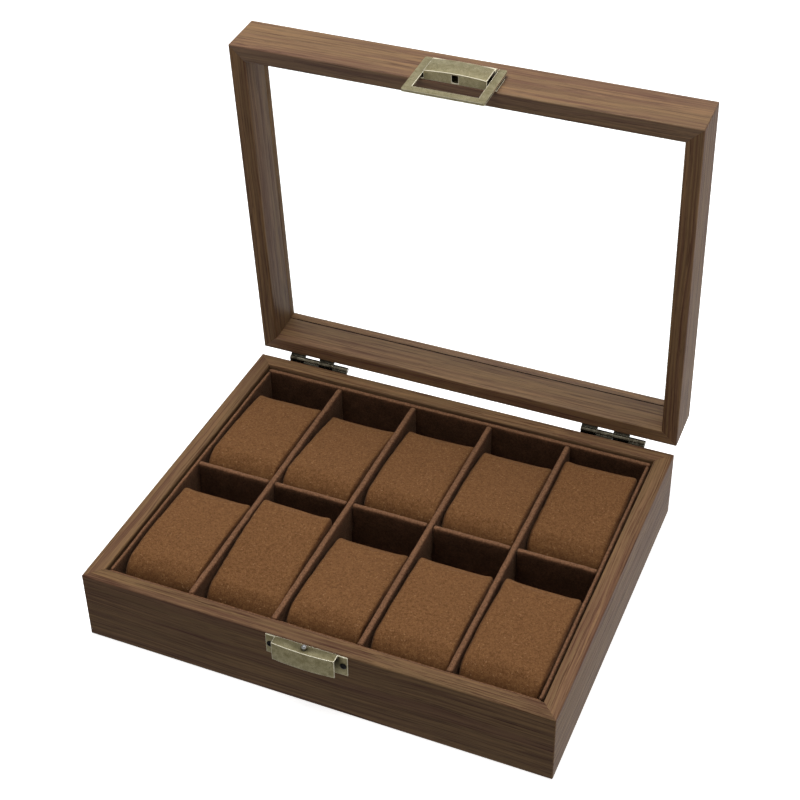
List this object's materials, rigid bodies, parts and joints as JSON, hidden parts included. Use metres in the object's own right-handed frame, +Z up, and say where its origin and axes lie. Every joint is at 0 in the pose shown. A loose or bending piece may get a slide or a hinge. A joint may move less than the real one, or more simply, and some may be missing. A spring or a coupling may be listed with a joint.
{
  "type": "watch box",
  "caption": "Wood-grain watch box with a flocked cell tray, loose suede cushions, a hinged glazed lid and a loop clasp, standing open.",
  "frame": {"origin": "middle of the base's underside", "axes": "+Z up, -Y towards the front with the clasp, +X right"},
  "size_m": [0.25, 0.2377, 0.2524],
  "materials": {
    "wood_grain": "satin walnut-brown wood grain",
    "panel_board": "matt brown board",
    "flock": "matt brown flock",
    "suede": "brown short-pile suede",
    "pane": "clear",
    "antique_brass": "antiqued, worn bright at the edges",
    "bronze": "dark antique",
    "steel": "bright",
    "black_screw": "black"
  },
  "bodies": {
    "base": {"base_front_wall": "wood_grain", "base_rear_wall": "wood_grain", "base_left_wall": "wood_grain", "base_right_wall": "wood_grain", "bottom_panel": "panel_board", "liner_floor": "flock", "liner_front_strip": "flock", "liner_rear_strip": "flock", "liner_left_strip": "flock", "liner_right_strip": "flock", "divider_across": "flock", "divider_lengthwise_1": "flock", "divider_lengthwise_2": "flock", "divider_lengthwise_3": "flock", "divider_lengthwise_4": "flock", "catch_plate": "antique_brass", "hinge_leaf_base_left": "bronze", "hinge_leaf_base_right": "bronze", "hinge_screws_base": "bronze", "hinge_pin_left": "steel", "hinge_pin_right": "steel", "catch_stud": "steel", "clasp_screws_base": "black_screw"},
    "lid": {"lid_front_rail": "wood_grain", "lid_rear_rail": "wood_grain", "lid_left_rail": "wood_grain", "lid_right_rail": "wood_grain", "glass_pane": "pane", "hinge_leaf_lid_left": "bronze", "hinge_leaf_lid_right": "bronze", "hinge_screws_lid": "bronze", "clasp_plate": "antique_brass", "clasp_screws_lid": "black_screw"},
    "loop": {"clasp_loop": "antique_brass"},
    "cushion_01": {"cushion_01": "suede"},
    "cushion_02": {"cushion_02": "suede"},
    "cushion_03": {"cushion_03": "suede"},
    "cushion_04": {"cushion_04": "suede"},
    "cushion_05": {"cushion_05": "suede"},
    "cushion_06": {"cushion_06": "suede"},
    "cushion_07": {"cushion_07": "suede"},
    "cushion_08": {"cushion_08": "suede"},
    "cushion_09": {"cushion_09": "suede"},
    "cushion_10": {"cushion_10": "suede"}
  },
  "joints": [
    {"name": "lid_hinge", "type": "hinge", "parent": "base", "child": "lid", "pos_m": [0, 0.104, 0.0411], "axis": [-1, 0, 0], "range_deg": [-86, 0]},
    {"name": "loop_hinge", "type": "hinge", "parent": "lid", "child": "loop", "pos_m": [0, 0.10379, 0.24909], "axis": [-1, 0, 0], "range_deg": [0, 110]},
    {"name": "lift_cushion_01", "type": "slide", "parent": "base", "child": "cushion_01", "axis": [0, 0, 1], "range_m": [0, 0.045]},
    {"name": "lift_cushion_02", "type": "slide", "parent": "base", "child": "cushion_02", "axis": [0, 0, 1], "range_m": [0, 0.045]},
    {"name": "lift_cushion_03", "type": "slide", "parent": "base", "child": "cushion_03", "axis": [0, 0, 1], "range_m": [0, 0.045]},
    {"name": "lift_cushion_04", "type": "slide", "parent": "base", "child": "cushion_04", "axis": [0, 0, 1], "range_m": [0, 0.045]},
    {"name": "lift_cushion_05", "type": "slide", "parent": "base", "child": "cushion_05", "axis": [0, 0, 1], "range_m": [0, 0.045]},
    {"name": "lift_cushion_06", "type": "slide", "parent": "base", "child": "cushion_06", "axis": [0, 0, 1], "range_m": [0, 0.045]},
    {"name": "lift_cushion_07", "type": "slide", "parent": "base", "child": "cushion_07", "axis": [0, 0, 1], "range_m": [0, 0.045]},
    {"name": "lift_cushion_08", "type": "slide", "parent": "base", "child": "cushion_08", "axis": [0, 0, 1], "range_m": [0, 0.045]},
    {"name": "lift_cushion_09", "type": "slide", "parent": "base", "child": "cushion_09", "axis": [0, 0, 1], "range_m": [0, 0.045]},
    {"name": "lift_cushion_10", "type": "slide", "parent": "base", "child": "cushion_10", "axis": [0, 0, 1], "range_m": [0, 0.045]}
  ]
}
